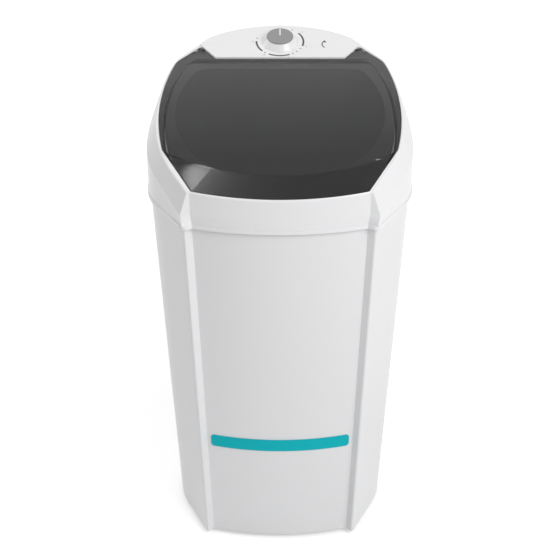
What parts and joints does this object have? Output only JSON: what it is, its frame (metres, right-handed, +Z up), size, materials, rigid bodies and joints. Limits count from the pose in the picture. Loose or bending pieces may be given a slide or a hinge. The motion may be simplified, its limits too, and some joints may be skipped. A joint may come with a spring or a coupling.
{
  "type": "semi-automatic washing machine",
  "caption": "Top-loading washer with a round tub, a smoked hinged lid, a timer knob on a lens-shaped console, a pulsator driven by belt and motor, and a lift-out lint filter.",
  "frame": {"origin": "on the floor under the middle of the machine", "axes": "+Z up, -Y out of the bowed front, +X to the right seen from the front"},
  "size_m": [0.524, 0.5199, 0.9856],
  "materials": {
    "casing_white": "smooth moulded white",
    "frame_white": "smooth moulded white",
    "smoked_lid": "smoked see-through plastic",
    "pin_black": "dark",
    "console_white": "smooth white",
    "knob_white": "smooth white",
    "knob_grey": "satin grey",
    "strip_teal": "glossy teal",
    "rubber_black": "matt rubber",
    "case_grey": "moulded grey",
    "steel": "turned",
    "zinc": "zinc plated",
    "tub_white": "moulded white",
    "filter_grey": "moulded grey",
    "pulsator_white": "moulded pale grey",
    "cast_aluminium": "cast",
    "bronze": "sintered bronze",
    "pulley_black": "glass filled nylon",
    "belt_rubber": "matt belt",
    "motor_paint": "dark enamel",
    "core_steel": "stacked sheets",
    "fan_grey": "moulded",
    "bracket_steel": "galvanised sheet",
    "cable_grey": "sheathed cable",
    "clip_white": "moulded",
    "hose_grey": "ribless hose",
    "outlet_black": "moulded",
    "tray_black": "moulded",
    "cover_white": "moulded white"
  },
  "bodies": {
    "machine": {"cabinet": "casing_white", "top_frame": "frame_white", "hinge_pins": "pin_black", "control_panel": "console_white", "front_strip": "strip_teal", "lid_buffers": "rubber_black", "timer_body": "case_grey", "timer_screws": "zinc", "wash_tub": "tub_white", "drain_strainer": "filter_grey", "strainer_screws": "zinc", "shaft_seal": "rubber_black", "bearing_housing": "cast_aluminium", "housing_bolts": "zinc", "upper_bush": "bronze", "lower_bush": "bronze", "drive_belt": "belt_rubber", "motor_housing": "motor_paint", "motor_end_shield": "cast_aluminium", "motor_bearings": "steel", "motor_stator": "core_steel", "motor_bracket": "bracket_steel", "bracket_bolts": "zinc", "motor_grommets": "rubber_black", "motor_bolts": "zinc", "capacitor": "case_grey", "capacitor_clamp": "bracket_steel", "wiring_harness": "cable_grey", "harness_clips": "clip_white", "drain_hose": "hose_grey", "hose_clips": "bracket_steel", "drain_outlet": "outlet_black", "cord_gland": "rubber_black", "base_tray": "tray_black", "feet": "rubber_black", "base_screws": "zinc", "rear_cover": "cover_white", "rear_cover_screws": "zinc", "frame_screws": "zinc"},
    "lid": {"lid": "smoked_lid"},
    "timer_knob": {"knob_skirt": "knob_white", "knob_cap": "knob_grey", "timer_spindle": "steel"},
    "pulsator_set": {"pulsator": "pulsator_white", "pulsator_screw": "zinc", "drive_shaft": "steel", "thrust_washers": "steel", "shaft_circlip": "steel", "drive_pulley": "pulley_black", "pulley_nut": "zinc"},
    "motor_set": {"motor_shaft": "steel", "motor_rotor": "core_steel", "motor_fan": "fan_grey", "motor_pulley": "cast_aluminium"},
    "filter": {"lint_filter": "filter_grey"}
  },
  "joints": [
    {"name": "lid_hinge", "type": "hinge", "parent": "machine", "child": "lid", "pos_m": [0, 0.182, 0.95119], "axis": [-1, 0, 0], "range_deg": [0, 85]},
    {"name": "timer_turn", "type": "hinge", "parent": "machine", "child": "timer_knob", "pos_m": [0, 0.2035, 0.9633], "axis": [0, 0.314, -0.9494], "range_deg": [0, 270]},
    {"name": "pulsator_spin", "type": "hinge", "parent": "machine", "child": "pulsator_set", "pos_m": [0, 0, 0.25], "axis": [0, 0, 1], "continuous": true},
    {"name": "motor_spin", "type": "hinge", "parent": "machine", "child": "motor_set", "pos_m": [0, 0.15, 0.2], "axis": [0, 0, 1], "continuous": true},
    {"name": "filter_lift", "type": "slide", "parent": "machine", "child": "filter", "axis": [0, 0, 1], "range_m": [0, 0.03]}
  ],
  "couplings": [
    {"joint": "motor_spin", "follows": "pulsator_spin", "ratio": 5}
  ]
}
